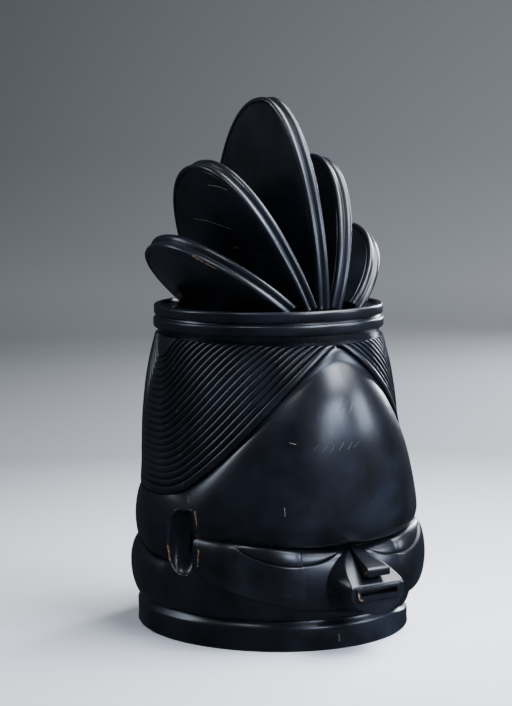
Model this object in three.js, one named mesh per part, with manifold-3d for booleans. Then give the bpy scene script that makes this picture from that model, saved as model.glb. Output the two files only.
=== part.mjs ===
// A sowei helmet mask, carved from one block of wood: a hollow head with a fan crest.
// Millimetres, +Z up, face towards -Y, standing on the rim of its neck opening.
// Angles are in degrees round the head, from 0 at the face to 180 at the nape.
import * as THREE from 'three';
import { mergeVertices } from 'three/addons/utils/BufferGeometryUtils.js';
import Module from 'manifold-3d';

// Plan: every level of the head is an oval, given by its half width along X.
const ovalRatio = 1.12; // depth of the oval over its width
const columns = 18; // facets round each half of the head

// Base band and the neck rolls above it
const flangeHalfWidth = 105.5;
const flangeHeight = 17;
const flangeLedge = 4; // least height of the slope up to the crease
const flangeCrease = 23; // top of the base band, where the lower roll starts
const flangeDip = 9; // how far the carver let that crease sink on the mask's left
const creaseHalfWidth = 102.3;
const lowerRollBulge = 7.9;
const upperRollBulge = 4.9;
const rollCreaseBack = 69; // between the two rolls at the nape
const rollCreaseSide = 62; // the same crease behind the ear
const rollCreaseHalfWidth = 103.3;
const rollTop = 115;
const rollTopHalfWidth = 99.2;
const napeStep = 3; // where the upper roll's facets start, under that panel
const napeSink = 1; // of the plain panel between the hair borders behind

// Hair: nested U ridges on each side, all scaled copies of one border line about a point over the ear
const hairTop = 234;
const hairBottom = 111;
const hairHalfWidth = 100.8; // at the bottom of the hair
const hairTopHalfWidth = 87.8;
const hairPole = 98; // angle of the point that the ridges are scaled about
const hairFrontTurn = 80; // where the border line turns level, from the face
const hairBackTurn = 124; // where it starts to climb again
const hairTurnSoftness = 6;
const hairArmBow = 4;
const ridgePitch = 5.3;
const plainRidges = 3; // places next to the pole that stay uncarved
const ridgeDepth = 1.7;
const borderWidth = 7;
const borderLift = 0.6;
const borderGroove = 2.4;
const grooveRun = 2; // how far the groove softens into the forehead

// Forehead: a smooth dome between the two hair borders
const domeHeight = 17;
const domeRun = 30; // how far from the border the dome has risen by two thirds
const domeApexSoftness = 12;
const domeTurn = 100; // below this height the dome turns under to the brow crease
const domeTurnRadius = 21;
const browMiddle = 76;
const browSide = 84;
const templeStart = 70; // the forehead gives way to the neck roll behind the temple
const templeEnd = 84;

// Cheeks and eyes
const cheekEnd = 78;
const cheekSlack = 58; // from here back the cheeks flatten
const cheekEndShare = 0.3; // how much of their bulge is left at the end
const cheekTuck = 1; // how deep their top edge lies under the forehead
const cheekBulgeRight = 9;
const cheekBulgeLeft = 11;
const cheekFootFront = 31;
const cheekFootSide = 56;
const cheekRoot = 12; // how deep the cheeks reach into the wall
const cheekOverlap = 1; // how far they run under the brow
const cheekColumns = 13;
const eyeMiddle = 28;
const eyeHalfSpan = 19;
const eyeHeight = 11;
const eyeSink = 1.6;

// Muzzle: a wedge with a drop-shaped front, slanting back to the brow at its top
const muzzleReach = 151; // front facet, from the middle of the head
const muzzleTopReach = 114;
const muzzleHalfWidth = 24.3;
const muzzleWidest = 48;
const muzzleSlantFoot = 55; // the front stands upright up to here
const muzzleTop = 79;
const muzzleBottom = 31.5;
const muzzleSpread = 33; // half width where its sides meet the cheeks, at the chin
const muzzleTopSpread = 4;
const muzzleSideGap = 3; // least run of the sides
const cheekReach = 125.4; // how far forward the sides meet the cheeks
const muzzleSideRun = 1.9; // the sides run on into the wall, past where they meet the cheeks

// Nose and mouth
const noseReach = 152.5;
const noseRoot = 102;
const noseTopHalfWidth = 2;
const noseHalfWidth = 10.4;
const noseBridgeTop = 84.4; // height of its ridge at the root, inside the forehead
const noseTipTop = 67.5;
const noseTipBottom = 61.5;
const noseRootBottom = 55.5;
const lipHalfWidth = 20;
const lipTop = 54.5;
const lipBottom = 43;
const lipProud = 1.5;
const lipCorner = 3;
const slitHalfWidth = 16.5;
const slitHeight = 4;
const slitRaise = 0.8; // above the middle of the lips
const slitDepth = 7;
const slitCorner = 1;

// Ears: upright scoops with a straight front edge, deep above and running out at the foot
const earAngle = 70;
const earReach = 111.5; // from the middle of the head to the middle of the ear's rim
const earFacing = 58; // the ear opens towards the front, with its back edge proud
const earMiddle = 80;
const earWidth = 27;
const earHeight = 54;
const earRoot = 22;
const earRootInset = 6;
const earEdge = 1; // roundness of the outer edge
const earRim = 2.4;
const earHollow = 9;
const earSquareness = 5; // of its outline at the front and top, where 2 is an ellipse
const earFootSquareness = 3;
const earBackSquareness = 2.3;
const earPoints = 16;

// Double ring and the dished platform that carries the crest
const bandHalfWidth = 86.5;
const bandOverlap = 3; // how far it reaches down into the head
const ringFoot = 238.5;
const ringHeight = 8.5;
const ringGroove = 1.6;
const lowerRingHalfWidth = 89.4;
const upperRingHalfWidth = 88.8;
const ringRound = 2;
const lipWidth = 4.5; // top of the upper ring, outside the dish
const dishSlope = 1.5;
const dishDepth = 3;
const ringColumns = 32;
const platformTop = ringFoot + 2 * ringHeight + ringGroove;

// Crest: five lobes that fan out from the front-to-back line, each a thick leaf with a grooved rim.
// root is how far out the lobe starts, foot the half thickness of its outer side down there,
// shift how far back (+) or forward (-) its tip lies, and front and back are the powers of its
// outline: 2 is an ellipse, less is more pointed.
const middleLobeHeight = 162.9;
const innerLobeHeight = 121.5;
const outerLobeHeight = 77.6;
const innerLobeRoot = 11;
const outerLobeRoot = 30;
const lobeFoot = 8.5;
const outerLobeFoot = 21;
const middleLobe = { root: 0, foot: lobeFoot, height: middleLobeHeight };
const innerLobe = { root: innerLobeRoot, foot: lobeFoot, height: innerLobeHeight };
const outerLobe = { root: outerLobeRoot, foot: outerLobeFoot, height: outerLobeHeight };
const lobes = [
  { ...middleLobe, side: 1, tilt: 0, shift: -4, front: 1.8, back: 2.2 },
  { ...innerLobe, side: -1, tilt: 22, shift: 4, front: 2, back: 2.2 },
  { ...innerLobe, side: 1, tilt: 17, shift: -5, front: 1.8, back: 2.4 },
  { ...outerLobe, side: -1, tilt: 47, shift: 6, front: 1.65, back: 2.2 },
  { ...outerLobe, side: 1, tilt: 42, shift: -6, front: 1.7, back: 2.1 },
];
const lobeHalfLength = 83;
const lobeThickness = 10;
const rimThickness = 13.5;
const rimEndThickness = 10.5;
const rimDepth = 4.5;
const rimRound = 1.3;
const rimGroove = 2;
const lobeRootDepth = 12; // how far the lobes reach down into the platform
const lobeFacets = 18; // round the rim that shows
const lobeRootFacets = 4; // round the part sunk in the platform

// The hollow inside
const openingHalfWidth = 93.2;
const wallRise = 70; // the hollow keeps its width up to here
const hollowShoulder = 150;
const hollowShoulderHalfWidth = 87;
const hollowTop = 229;
const hollowRoundness = 2.3;
const hollowColumns = 28;
const hollowRows = 5;
const clearCut = 4; // how far the cutting shapes stand out of the wood

const rad = THREE.MathUtils.degToRad;
const clamp = (value) => Math.min(1, Math.max(0, value));
const mix = (a, b, share) => a + (b - a) * share;
const smooth = (from, to, value) => {
  const t = clamp((value - from) / (to - from));
  return t * t * (3 - 2 * t);
};
const bulge = (share, power) => Math.sin(Math.PI * clamp(share)) ** power;

// A point of the head, at an angle from the face, on the right (-1) or left (+1) side
function headPoint(side, angle, halfWidth, z) {
  const a = rad(angle);
  return [side * halfWidth * Math.sin(a), -ovalRatio * halfWidth * Math.cos(a), z];
}

// Closed solid from a list of triangles, each three points, seen counterclockwise from outside
function solidFromTriangles(triangles) {
  const geometry = new THREE.BufferGeometry();
  geometry.setAttribute('position', new THREE.Float32BufferAttribute(triangles.flat(2), 3));
  return solidFromGeometry(geometry);
}

function solidFromGeometry(source) {
  const geometry = source.index ? source.toNonIndexed() : source;
  geometry.deleteAttribute('normal');
  geometry.deleteAttribute('uv');
  const merged = mergeVertices(geometry, 1e-4);
  const index = [];
  for (let i = 0; i < merged.index.count; i += 3) {
    const [a, b, c] = [0, 1, 2].map((k) => merged.index.getX(i + k));
    if (a !== b && b !== c && c !== a) index.push(a, b, c);
  }
  const mesh = new wasm.Mesh({
    numProp: 3,
    vertProperties: new Float32Array(merged.attributes.position.array),
    triVerts: new Uint32Array(index),
  });
  return new wasm.Manifold(mesh);
}

function quad(a, b, c, d) {
  return [[a, b, c], [a, c, d]];
}

// Loops of points stacked one on the next, counterclockwise seen from the last towards the first,
// with a flat fan over both ends
function loft(loops) {
  const triangles = [];
  const count = loops[0].length;
  for (let k = 0; k + 1 < loops.length; k += 1) {
    for (let i = 0; i < count; i += 1) {
      const j = (i + 1) % count;
      triangles.push(...quad(loops[k][i], loops[k][j], loops[k + 1][j], loops[k + 1][i]));
    }
  }
  triangles.push(...fan(loops[0]).map(([a, b, c]) => [a, c, b]), ...fan(loops.at(-1)));
  return solidFromTriangles(triangles);
}

function fan(loop) {
  const middle = [0, 1, 2].map((k) => loop.reduce((sum, p) => sum + p[k], 0) / loop.length);
  return loop.map((p, i) => [middle, p, loop[(i + 1) % loop.length]]);
}

function ovalLoop(halfWidth, z, count) {
  return Array.from({ length: count }, (_, i) => headPoint(1, (360 * i) / count, halfWidth, z));
}

// Hair

const hairDepth = hairTop - hairBottom;
const frontTurn = hairFrontTurn / 180;
const backTurn = hairBackTurn / 180;

function hairRadius(z) {
  const share = clamp((z - hairBottom) / hairDepth);
  return mix(hairHalfWidth, hairTopHalfWidth, share ** 2.8);
}

// Height of the border line over its lowest run, at a share of the way from face to nape
function borderRise(share) {
  const front = (hairDepth * (1 - share / frontTurn)) / hairTurnSoftness;
  const back = (hairDepth * (share - backTurn)) / (1 - backTurn) / hairTurnSoftness;
  const bow = share < frontTurn ? hairArmBow * Math.sin((2 * Math.PI * share) / frontTurn) : 0;
  return hairTurnSoftness * Math.log(Math.exp(front) + 1 + Math.exp(back)) + bow;
}

function hairPoint(side, scale, share, lift) {
  const angle = mix(hairPole, 180 * share, scale);
  const z = hairTop - scale * (hairDepth - borderRise(share));
  return headPoint(side, angle, hairRadius(z) + lift, z);
}

// Rows of the hair from the pole out to the border: a groove and a crown for every ridge
function hairRows() {
  const pitch = ridgePitch / hairDepth;
  const borderStart = 1 - borderWidth / hairDepth;
  const ridges = Math.round(borderStart / pitch);
  const rows = [];
  for (let k = 1; k <= ridges; k += 1) {
    const groove = (borderStart * k) / ridges;
    const crown = (borderStart * (k + 0.45)) / ridges;
    if (k === 1 || k >= plainRidges) rows.push([groove, k < plainRidges ? 0 : -ridgeDepth]);
    if (k < ridges && k >= plainRidges) rows.push([crown, 0]);
  }
  for (const share of [0.3, 0.7]) rows.push([mix(borderStart, 1, share), borderLift]);
  rows.push([1, -borderGroove]);
  return rows;
}

// Forehead, rolls and base band

function frontWeight(angle) {
  return 1 - smooth(templeStart, templeEnd, angle);
}

function browCrease(angle) {
  const front = mix(browMiddle, browSide, smooth(0, 55, angle));
  const back = mix(rollCreaseSide, rollCreaseBack, smooth(90, 120, angle));
  return mix(back, front, frontWeight(angle));
}

function bandCrease(side, angle) {
  return flangeCrease - flangeDip * Math.exp(-(((side * angle - 62) / 32) ** 2));
}

function borderHeight(angle) {
  return hairBottom + borderRise(angle / 180);
}

function foreheadRadius(angle, z) {
  const softAngle = Math.min(180, Math.hypot(angle, domeApexSoftness));
  const slope = Math.atan2(hairDepth, (rad(hairFrontTurn) * hairHalfWidth));
  const distance = Math.max(0, (borderHeight(softAngle) - z) * Math.cos(slope));
  const under = Math.sqrt(Math.max(0, 1 - (Math.max(0, domeTurn - z) / domeTurnRadius) ** 2));
  const rise = domeHeight * (1 - Math.exp(-distance / domeRun));
  const groove = borderGroove * Math.exp((z - borderHeight(angle)) / grooveRun);
  return hairRadius(z) + rise * under - groove;
}

function upperRollRadius(angle, z) {
  if (z > rollTop) return hairRadius(z) - napeSink;
  const share = (rollTop - z) / (rollTop - browCrease(angle));
  return mix(rollTopHalfWidth, rollCreaseHalfWidth, share) + upperRollBulge * bulge(share, 0.6);
}

function lowerRollRadius(side, angle, z) {
  const top = browCrease(angle);
  const share = (top - z) / (top - bandCrease(side, angle));
  return mix(rollCreaseHalfWidth, creaseHalfWidth, share) + lowerRollBulge * bulge(share, 0.5);
}

function flangeTop(band) {
  return Math.min(flangeHeight, band - flangeLedge);
}

function neckRadius(side, angle, z) {
  const crease = browCrease(angle);
  const band = bandCrease(side, angle);
  if (z < band) return mix(flangeHalfWidth, creaseHalfWidth, smooth(flangeTop(band), band, z));
  if (z < crease) return lowerRollRadius(side, angle, z);
  return mix(upperRollRadius(angle, z), foreheadRadius(angle, z), frontWeight(angle));
}

// Heights of one column of the head, from under the hair border down to the rim of the opening
function columnHeights(side, angle) {
  const border = borderHeight(angle);
  const crease = browCrease(angle);
  const nape = Math.min(rollTop, border) - napeStep;
  const middle = mix(nape, mix(crease, border, 0.4), frontWeight(angle));
  const band = bandCrease(side, angle);
  const heights = [];
  for (const share of [0.1, 0.35, 0.7, 1]) heights.push(mix(border, middle, share));
  for (const share of [0.2, 0.45, 0.7, 0.88, 1]) heights.push(mix(middle, crease, share));
  for (const share of [0.1, 0.3, 0.6, 0.88, 1]) heights.push(mix(crease, band, share));
  heights.push(flangeTop(band), 0);
  return heights;
}

function head() {
  const triangles = [];
  const rows = hairRows();
  const middle = [0, 0, hairTop];
  for (const side of [-1, 1]) {
    const face = (list) => list.map(([a, b, c]) => (side < 0 ? [a, b, c] : [a, c, b]));
    const pole = hairPoint(side, 0, 0, 0);
    const grid = [Array(columns + 1).fill(pole)];
    for (const [scale, lift] of rows) {
      grid.push(Array.from({ length: columns + 1 }, (_, i) => hairPoint(side, scale, i / columns, lift)));
    }
    const below = Array.from({ length: columns + 1 }, (_, i) => {
      const angle = (180 * i) / columns;
      return columnHeights(side, angle).map((z) => headPoint(side, angle, neckRadius(side, angle, z), z));
    });
    for (let k = 0; k < below[0].length; k += 1) grid.push(below.map((column) => column[k]));
    for (let j = 0; j + 1 < grid.length; j += 1) {
      for (let i = 0; i < columns; i += 1) {
        const [right, left] = [grid[j][i], grid[j][i + 1]];
        triangles.push(...face(quad(left, grid[j + 1][i + 1], grid[j + 1][i], right)));
      }
    }
    for (let j = 0; j < rows.length; j += 1) {
      triangles.push(...face([[middle, grid[j][0], grid[j + 1][0]]]));
      triangles.push(...face([[middle, grid[j + 1][columns], grid[j][columns]]]));
    }
    const rim = grid.at(-1);
    for (let i = 0; i < columns; i += 1) triangles.push(...face([[[0, 0, 0], rim[i], rim[i + 1]]]));
  }
  return solidFromTriangles(triangles);
}

// Face

function cheekFoot(side, angle) {
  const start = side < 0 ? 15 : 50;
  const span = side < 0 ? 50 : 20;
  return mix(cheekFootFront, cheekFootSide, clamp((angle - start) / span) ** 1.5);
}

function eyeArc(angle) {
  const across = (angle - eyeMiddle) / eyeHalfSpan;
  return Math.abs(across) < 1 ? eyeHeight * Math.sqrt(1 - across * across) : 0;
}

function cheekSection(side, angle) {
  const top = browCrease(Math.min(angle, templeStart)) + cheekOverlap;
  const foot = cheekFoot(side, angle);
  const full = side < 0 ? cheekBulgeRight : cheekBulgeLeft;
  const height = full * mix(1, cheekEndShare, smooth(cheekSlack, cheekEnd, angle));
  const footRadius = lowerRollRadius(side, angle, foot) - cheekTuck / 2;
  const topRadius = foreheadRadius(angle, top - cheekOverlap) - cheekTuck;
  const outer = [0, 0.14, 0.28, 0.4, 0.5, 0.6, 0.72, 0.86, 1].map((share) => {
    const z = mix(top, foot, 0.5 - 0.5 * Math.cos(Math.PI * share));
    const radius = mix(topRadius, footRadius, share) + height * bulge(share, 0.8);
    const eye = z > top - eyeArc(angle) ? eyeSink : 0;
    return [radius - eye, z];
  });
  const inner = [[footRadius - cheekRoot, foot], [footRadius - cheekRoot, top]];
  return [...outer, ...inner].map(([radius, z]) => headPoint(side, angle, radius, z));
}

function cheeks() {
  const sections = [];
  for (let k = -cheekColumns; k <= cheekColumns; k += 1) {
    sections.push(cheekSection(k < 0 ? -1 : 1, (cheekEnd * Math.abs(k)) / cheekColumns));
  }
  return loft(sections);
}

// One level of the muzzle: the front edge, and the sides running back into the cheeks
function muzzleLevel(z) {
  const share = (z - muzzleBottom) / (muzzleTop - muzzleBottom);
  const up = clamp((z - muzzleWidest) / (muzzleTop - muzzleWidest));
  const down = clamp((muzzleWidest - z) / (muzzleWidest - muzzleBottom));
  const halfWidth = Math.max(noseTopHalfWidth / 2, muzzleHalfWidth * (1 - (up + down) ** 2) ** 0.63);
  const slant = clamp((z - muzzleSlantFoot) / (muzzleTop - muzzleSlantFoot));
  const reach = mix(muzzleReach, muzzleTopReach, slant);
  const spread = Math.max(mix(muzzleSpread, muzzleTopSpread, share ** 2.2), halfWidth + muzzleSideGap);
  const sideReach = mix(muzzleTopReach, cheekReach, bulge(share, 1.5));
  const rootX = mix(halfWidth, spread, muzzleSideRun);
  const rootY = mix(reach, sideReach, muzzleSideRun);
  return [[rootX, -rootY, z], [halfWidth, -reach, z], [-halfWidth, -reach, z], [-rootX, -rootY, z]];
}

function muzzle() {
  const levels = [0, 0.12, 0.3, 0.5, 0.62, 0.74, 0.86, 0.95, 1];
  return loft(levels.map((share) => muzzleLevel(mix(muzzleBottom, muzzleTop, share)).reverse()));
}

function nose() {
  const root = (z, halfWidth) => [[-halfWidth, -noseRoot, z], [halfWidth, -noseRoot, z]];
  const tip = (z) => [[noseHalfWidth, -noseReach, z], [-noseHalfWidth, -noseReach, z]];
  const lower = [...root(noseRootBottom, noseHalfWidth), ...tip(noseTipBottom)];
  const upper = [...root(noseBridgeTop, noseTopHalfWidth), ...tip(noseTipTop)];
  return loft([lower.reverse(), upper.reverse()]);
}

function frontBlock(halfWidth, bottom, top, front, back, corner) {
  const shape = new THREE.Shape();
  shape.moveTo(-halfWidth + corner, bottom);
  shape.lineTo(halfWidth - corner, bottom);
  shape.lineTo(halfWidth, bottom + corner);
  shape.lineTo(halfWidth, top - corner);
  shape.lineTo(halfWidth - corner, top);
  shape.lineTo(-halfWidth + corner, top);
  shape.lineTo(-halfWidth, top - corner);
  shape.lineTo(-halfWidth, bottom + corner);
  const geometry = new THREE.ExtrudeGeometry(shape, { depth: front - back, bevelEnabled: false });
  geometry.rotateX(Math.PI / 2);
  geometry.translate(0, -back, 0);
  return solidFromGeometry(geometry);
}

function lips() {
  return frontBlock(lipHalfWidth, lipBottom, lipTop, muzzleReach + lipProud, muzzleTopReach, lipCorner);
}

function mouthSlit() {
  const middle = (lipTop + lipBottom) / 2 + slitRaise;
  const face = muzzleReach + lipProud;
  const [bottom, top] = [middle - slitHeight / 2, middle + slitHeight / 2];
  return frontBlock(slitHalfWidth, bottom, top, face + clearCut, face - slitDepth, slitCorner);
}

// Ears

// A ring round an ear, lying offAt out of its plane: square in front, rounder behind and below
function earLoop(side, width, height, offAt) {
  const facing = rad(earFacing);
  const outward = [side * Math.sin(facing), -Math.cos(facing)];
  const forward = [-side * Math.cos(facing), -Math.sin(facing)];
  const middle = [side * Math.sin(rad(earAngle)) * earReach, -Math.cos(rad(earAngle)) * earReach];
  const loop = Array.from({ length: earPoints }, (_, i) => {
    const a = (2 * Math.PI * (i + 0.5)) / earPoints;
    const [c, s] = [Math.cos(a), Math.sin(a)];
    const squareness = c > 0 ? mix(earFootSquareness, earSquareness, s > 0 ? 1 : 0) : earBackSquareness;
    const across = (width / 2) * Math.sign(c) * Math.abs(c) ** (2 / squareness);
    const up = (height / 2) * Math.sign(s) * Math.abs(s) ** (2 / squareness);
    const off = offAt(s);
    return [
      middle[0] + across * forward[0] + off * outward[0],
      middle[1] + across * forward[1] + off * outward[1],
      earMiddle + up,
    ];
  });
  return side > 0 ? loop.reverse() : loop;
}

function earBlock(side) {
  const steps = [[earRootInset, -earRoot], [earEdge / 2, -earEdge * 2], [0, -earEdge], [earEdge / 2, 0]];
  const ring = ([inset, off]) => earLoop(side, earWidth - 2 * inset, earHeight - 2 * inset, () => off);
  return loft(steps.map(ring));
}

// The scoop: a steep wall above, and a floor that rises gently to the rim below
function earScoop(side) {
  const [width, height] = [earWidth - 2 * earRim, earHeight - 2 * earRim];
  const loops = [0.3, 0.65, 0.88, 1].map((share) => {
    const floor = (s) => -earHollow * (1 - share ** mix(5, 1.6, (1 - s) / 2)) ** 0.6;
    return earLoop(side, width * share, height * share, floor);
  });
  return loft([...loops, earLoop(side, width, height, () => clearCut)]);
}

// Double ring

function rings() {
  const profile = [[bandHalfWidth, hairTop - bandOverlap], [bandHalfWidth, ringFoot]];
  for (const [k, halfWidth] of [lowerRingHalfWidth, upperRingHalfWidth].entries()) {
    const foot = ringFoot + k * (ringHeight + ringGroove);
    profile.push([halfWidth - ringRound, foot], [halfWidth, foot + ringRound]);
    profile.push([halfWidth, foot + ringHeight - ringRound], [halfWidth - ringRound, foot + ringHeight]);
  }
  const dish = upperRingHalfWidth - lipWidth;
  profile.push([dish, platformTop], [dish - dishSlope, platformTop - dishDepth]);
  return loft(profile.map(([halfWidth, z]) => ovalLoop(halfWidth, z, ringColumns)));
}

// Crest

// Half thickness of one face of a lobe, from the middle of its foot out to the groove in its rim
function lobeProfile(foot, end) {
  const rim = mix(rimEndThickness, rimThickness, end) / 2;
  return [
    { share: 0.25, inset: 0, off: mix(lobeFoot, foot, Math.sqrt(end)) },
    { share: 1, inset: rimDepth, off: Math.min(lobeThickness / 2, rim) },
    { share: 1, inset: rimRound, off: rim },
    { share: 1, inset: 0, off: rim * 0.6 },
    { share: 1, inset: rimGroove, off: 0 },
  ];
}

// A point of a lobe's outline, phi running from its front end (0) over the tip to its back end
function lobePoint(lobe, phi, { share, inset, off }) {
  const shown = Math.sin(phi) > 0;
  const power = shown ? 2 / (Math.cos(phi) > 0 ? lobe.front : lobe.back) : 1;
  const reach = shown ? lobe.height - inset : lobeRootDepth;
  const high = share * reach * Math.sign(Math.sin(phi)) * Math.abs(Math.sin(phi)) ** power;
  const long = share * (lobeHalfLength - inset) * Math.sign(Math.cos(phi)) * Math.abs(Math.cos(phi)) ** power;
  const tilt = rad(lobe.tilt);
  return [
    lobe.side * (lobe.root + Math.max(high, 0) * Math.sin(tilt) + off * Math.cos(tilt)),
    (lobe.shift * Math.max(high, 0)) / lobe.height - long,
    platformTop + high * Math.cos(tilt) - off * Math.sin(tilt),
  ];
}

function crestLobe(lobe) {
  const shown = Array.from({ length: lobeFacets }, (_, i) => (Math.PI * i) / lobeFacets);
  const sunk = Array.from({ length: lobeRootFacets }, (_, i) => Math.PI * (1 + i / lobeRootFacets));
  const loop = (index, face) => [...shown, ...sunk].map((phi) => {
    const foot = face > 0 ? lobe.foot : lobeFoot;
    const { share, inset, off } = lobeProfile(foot, Math.max(0, Math.sin(phi)))[index];
    return lobePoint(lobe, phi, { share, inset, off: face * off });
  });
  const loops = [0, 1, 2, 3].map((index) => loop(index, -1));
  loops.push(...[4, 3, 2, 1, 0].map((index) => loop(index, 1)));
  return loft(lobe.side < 0 ? loops : loops.map((points) => points.reverse()));
}

function crest() {
  return lobes.map(crestLobe).reduce((sum, solid) => sum.add(solid));
}

// The hollow: straight walls over the neck opening, closing in a dome under the ring

function hollow() {
  const profile = [[openingHalfWidth, -clearCut], [openingHalfWidth, wallRise],
    [hollowShoulderHalfWidth, hollowShoulder]];
  for (let k = 1; k <= hollowRows; k += 1) {
    const share = Math.sin((Math.PI / 2) * (k / (hollowRows + 0.35)));
    const z = mix(hollowShoulder, hollowTop, share);
    profile.push([hollowShoulderHalfWidth * (1 - share ** hollowRoundness) ** (1 / hollowRoundness), z]);
  }
  return loft(profile.map(([halfWidth, z]) => ovalLoop(halfWidth, z, hollowColumns)));
}

const wasm = await Module();
wasm.setup();

let body = head().add(cheeks()).add(muzzle()).add(nose()).add(lips()).subtract(mouthSlit());
for (const side of [-1, 1]) body = body.add(earBlock(side)).subtract(earScoop(side));
body = body.add(rings()).add(crest()).subtract(hollow());

const result = body.getMesh();
const geometry = new THREE.BufferGeometry();
geometry.setAttribute('position', new THREE.BufferAttribute(result.vertProperties, 3));
geometry.setIndex(new THREE.BufferAttribute(result.triVerts, 1));
geometry.computeVertexNormals();
geometry.computeBoundingBox();

const blackenedWood = new THREE.MeshStandardMaterial({ color: 0x15161c, roughness: 0.38, metalness: 0 });
const mask = new THREE.Mesh(geometry, blackenedWood);
mask.name = 'mask';
// The origin is on the ground, under the middle of the whole carving
const box = geometry.boundingBox;
mask.position.set(-(box.min.x + box.max.x) / 2, -(box.min.y + box.max.y) / 2, 0);

const group = new THREE.Group();
group.add(mask);
export default group;
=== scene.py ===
# A carved helmet mask in black polished wood, standing on a pale studio floor.
import math
import bpy
import numpy as np
from mathutils import Matrix, Vector
from mathutils.bvhtree import BVHTree


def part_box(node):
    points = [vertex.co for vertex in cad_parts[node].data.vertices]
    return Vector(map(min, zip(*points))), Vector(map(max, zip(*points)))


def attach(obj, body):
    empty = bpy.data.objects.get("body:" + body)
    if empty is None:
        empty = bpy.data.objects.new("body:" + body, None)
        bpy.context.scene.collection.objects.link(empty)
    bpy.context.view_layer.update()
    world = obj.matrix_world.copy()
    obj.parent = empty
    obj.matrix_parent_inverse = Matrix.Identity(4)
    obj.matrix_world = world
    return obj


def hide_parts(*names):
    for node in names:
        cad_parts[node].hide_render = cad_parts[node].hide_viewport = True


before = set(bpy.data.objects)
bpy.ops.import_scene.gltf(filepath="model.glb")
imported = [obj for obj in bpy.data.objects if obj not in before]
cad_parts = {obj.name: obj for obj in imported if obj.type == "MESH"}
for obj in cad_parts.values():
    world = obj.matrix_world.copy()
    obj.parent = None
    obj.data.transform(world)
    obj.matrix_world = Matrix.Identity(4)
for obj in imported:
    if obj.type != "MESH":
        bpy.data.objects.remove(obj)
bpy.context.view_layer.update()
maskLow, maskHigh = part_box("mask")
print("frame loaded")

# Shapes are worked out in millimetres about the upright middle line of the head,
# with angles in degrees from the face (0) to the nape (180) and side -1 or 1 for -X or +X.
# toScene puts them into the frame, whose origin lies under the middle of the whole carving.
mm = 0.001
noseReach = 152.5  # the foremost point, from the middle of the head
headShift = Vector(((maskLow[0] + maskHigh[0]) / 2, maskLow[1] + noseReach * mm, maskLow[2]))


def toScene(points):
    return np.asarray(points, float) * mm + np.array(headShift)


def mix(a, b, share):
    return a + (b - a) * share


def smooth(start, end, value):
    t = np.clip((np.asarray(value, float) - start) / (end - start), 0, 1)
    return t * t * (3 - 2 * t)


def bulge(share, power):
    return np.sin(np.pi * np.clip(share, 0, 1)) ** power


def chisel(points, size, seed):  # three slow waves, from about 0 down to -1
    u, v, w = np.moveaxis(np.asarray(points, float) / size, -1, 0)
    wave = np.sin(1.7 * u + 2.3 * v + 0.9 * w + seed) + np.sin(2.9 * u - 1.3 * v + 2.1 * w + 2 * seed)
    return 0.18 * wave + 0.14 * np.sin(-1.1 * u + 3.1 * v + 3.7 * w + 3 * seed) - 0.56


handWork = {  # depth of the waves that the carver's tool leaves, their length, and where they start
    "head": (0.55, 26, 0.0), "hair": (0.3, 16, 3.0), "cheeks": (0.4, 22, 1.0), "ring": (0.4, 21, 2.0),
    "lobes": (0.5, 19, 5.0), "hollow": (1.0, 14, 4.0),
}


def worked(place, points, turn=0.0):
    depth, size, seed = handWork[place]
    return depth * chisel(points, size, seed + turn)


# Meshes from grids of points

def weld(points, faces):
    points = np.asarray(points, float)
    keys = np.round(points, 4) + 0.0
    _, first, inverse = np.unique(keys, axis=0, return_index=True, return_inverse=True)
    inverse = inverse.reshape(-1)
    kept = []
    for face in faces:
        ring = []
        for corner in face:
            spot = int(inverse[corner])
            if not ring or (ring[-1] != spot and ring[0] != spot):
                ring.append(spot)
        if len(ring) > 2:
            kept.append(ring)
    return points[first], kept


def solid(name, points, faces):
    spots, rings = weld(points, faces)
    mesh = bpy.data.meshes.new(name)
    mesh.from_pydata(toScene(spots).tolist(), [], rings)
    mesh.update()
    made = bpy.data.objects.new(name, mesh)
    bpy.context.scene.collection.objects.link(made)
    return made


def gridFaces(rows, cols, start, closed, flip):
    faces = []
    for j in range(rows - 1):
        for i in range(cols if closed else cols - 1):
            k = (i + 1) % cols
            face = [start + j * cols + i, start + j * cols + k,
                    start + (j + 1) * cols + k, start + (j + 1) * cols + i]
            faces.append(face[::-1] if flip else face)
    return faces


def loft(name, loops, flip=False):  # closed loops stacked one on the next, with a fan over both ends
    loops = np.asarray(loops, float)
    rows, cols = loops.shape[:2]
    points = list(loops.reshape(-1, 3)) + [loops[0].mean(0), loops[-1].mean(0)]
    faces = gridFaces(rows, cols, 0, True, flip)
    low, high, last = rows * cols, rows * cols + 1, (rows - 1) * cols
    for i in range(cols):
        k = (i + 1) % cols
        ends = [[low, k, i], [high, last + i, last + k]]
        faces += [end[::-1] if flip else end for end in ends]
    return solid(name, points, faces)


def joined(base, others, operation):
    for other in others:
        step = base.modifiers.new("carve", "BOOLEAN")
        step.operation = operation
        step.solver = "MANIFOLD"
        step.object = other
    depsgraph = bpy.context.evaluated_depsgraph_get()
    mesh = bpy.data.meshes.new_from_object(base.evaluated_get(depsgraph))
    base.modifiers.clear()
    base.data = mesh
    for other in others:
        bpy.data.objects.remove(other)
    return base


# Head: rolls, forehead and ridged hair in one closed surface

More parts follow.
